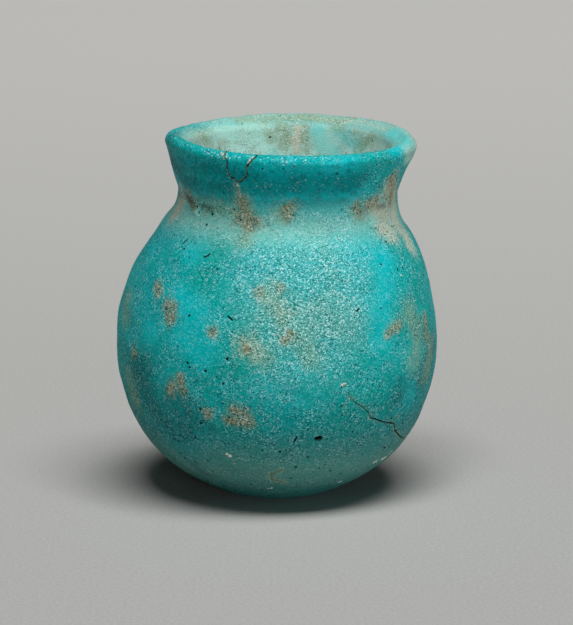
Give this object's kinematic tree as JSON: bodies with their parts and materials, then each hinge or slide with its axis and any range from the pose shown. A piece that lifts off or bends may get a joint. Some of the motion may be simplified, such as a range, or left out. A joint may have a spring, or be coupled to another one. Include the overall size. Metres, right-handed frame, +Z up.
{
  "type": "faience jar",
  "caption": "Small hand-built globular jar with a flared collar luted to its neck, copper-blue glaze over white quartz paste and a mended break in the lip; holds ointment or cosmetics.",
  "frame": {"origin": "middle of the flat spot under the round base, on the ground", "axes": "+Z up; -Y towards the front that the picture shows; +X to the viewer's right, the way the jar leans"},
  "size_m": [0.042, 0.042, 0.0473],
  "materials": {
    "quartz_paste": "matt sintered quartz grain, off-white",
    "copper_glaze": "worn copper-blue alkaline glaze, satin to glossy, pitted and pale where it is thin",
    "quartz_slip": "matt buff slip with soil crust",
    "bond_fill": "matt tan fill"
  },
  "bodies": {
    "root": {"globe_body": "quartz_paste", "globe_glaze": "copper_glaze", "luting_slip": "quartz_slip", "collar_body": "quartz_paste", "collar_glaze": "copper_glaze", "rim_sherd_body": "quartz_paste", "rim_sherd_glaze": "copper_glaze", "sherd_bond": "bond_fill"}
  },
  "joints": []
}
